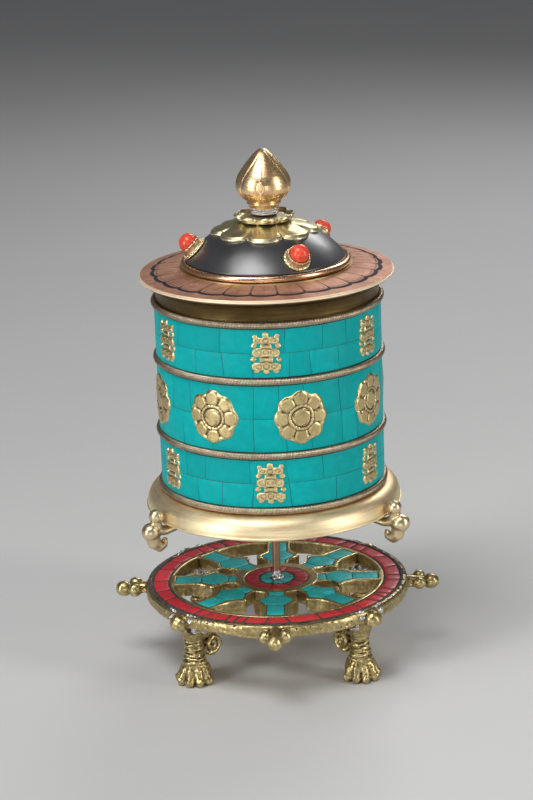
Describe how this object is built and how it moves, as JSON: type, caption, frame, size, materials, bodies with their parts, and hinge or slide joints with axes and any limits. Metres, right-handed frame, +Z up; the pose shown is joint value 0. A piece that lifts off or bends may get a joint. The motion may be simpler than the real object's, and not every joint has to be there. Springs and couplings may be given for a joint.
{
  "type": "prayer wheel",
  "caption": "Table-top prayer wheel: inlaid drum that spins on a spindle above a spoked wheel on lion-paw legs, under a domed lotus lid.",
  "frame": {"origin": "on the surface the paws stand on, on the spindle's axis", "axes": "+Z up along the spindle; -Y is the front, where a rim trefoil points; +X to the right"},
  "size_m": [0.13, 0.13, 0.2055],
  "materials": {
    "cast_brass": "rough cast brass, rubbed bright on high spots, dark patina in the hollows",
    "solder": "silver-grey solder, uneven",
    "cement": "dark grey inlay cement",
    "coral_chips": "red chips, satin",
    "turquoise": "blue-green chips in dark cement, satin",
    "steel": "plain steel",
    "sheet_brass": "sheet brass, hand finished",
    "paper": "tightly wound plain paper",
    "relief_brass": "pressed brass relief, rubbed bright",
    "twisted_wire": "tarnished twisted wire",
    "polished_brass": "polished brass with a copper tone",
    "dark_brass": "dark brown patina",
    "copper": "copper sheet with dark chased lines",
    "black_lacquer": "gloss black lacquer",
    "coral_stone": "polished orange-red stone",
    "copper_jewel": "chased copper"
  },
  "bodies": {
    "base": {"base_wheel": "cast_brass", "leg_front_left": "cast_brass", "leg_front_right": "cast_brass", "leg_back_left": "cast_brass", "leg_back_right": "cast_brass", "leg_solder": "solder", "rim_cement": "cement", "rim_coral_chips": "coral_chips", "spoke_cement": "cement", "spoke_turquoise_chips": "turquoise", "hub_cement": "cement", "hub_coral_chips": "coral_chips", "hub_turquoise_chips": "turquoise", "spindle": "steel", "spindle_washer": "steel", "spindle_nut": "steel"},
    "drum": {"drum_shell": "sheet_brass", "drum_floor": "sheet_brass", "floor_bush": "sheet_brass", "core_tube": "sheet_brass", "pivot_cup": "sheet_brass", "prayer_scroll": "paper", "upper_band": "turquoise", "middle_band": "turquoise", "lower_band": "turquoise", "upper_ornaments": "relief_brass", "middle_medallions": "relief_brass", "lower_ornaments": "relief_brass", "rope_ring_1": "twisted_wire", "rope_ring_2": "twisted_wire", "rope_ring_3": "twisted_wire", "rope_ring_4": "twisted_wire", "skirt": "polished_brass", "spin_knob_left": "cast_brass", "spin_knob_right": "cast_brass", "spin_knob_back": "cast_brass"},
    "lid": {"cornice": "dark_brass", "top_plate": "copper", "dome_seat_ring": "sheet_brass", "dome_bead_ring": "copper", "dome": "black_lacquer", "stone_bezels": "sheet_brass", "coral_stones": "coral_stone", "lotus_lower": "sheet_brass", "lotus_upper": "sheet_brass", "finial_neck": "steel", "finial_jewel": "copper_jewel", "finial_stud": "steel", "finial_nut": "steel"}
  },
  "joints": [
    {"name": "drum_spin", "type": "hinge", "parent": "base", "child": "drum", "pos_m": [0, 0, 0], "axis": [0, 0, 1], "continuous": true},
    {"name": "lid_lift", "type": "slide", "parent": "drum", "child": "lid", "axis": [0, 0, 1], "range_m": [0, 0.04]}
  ]
}
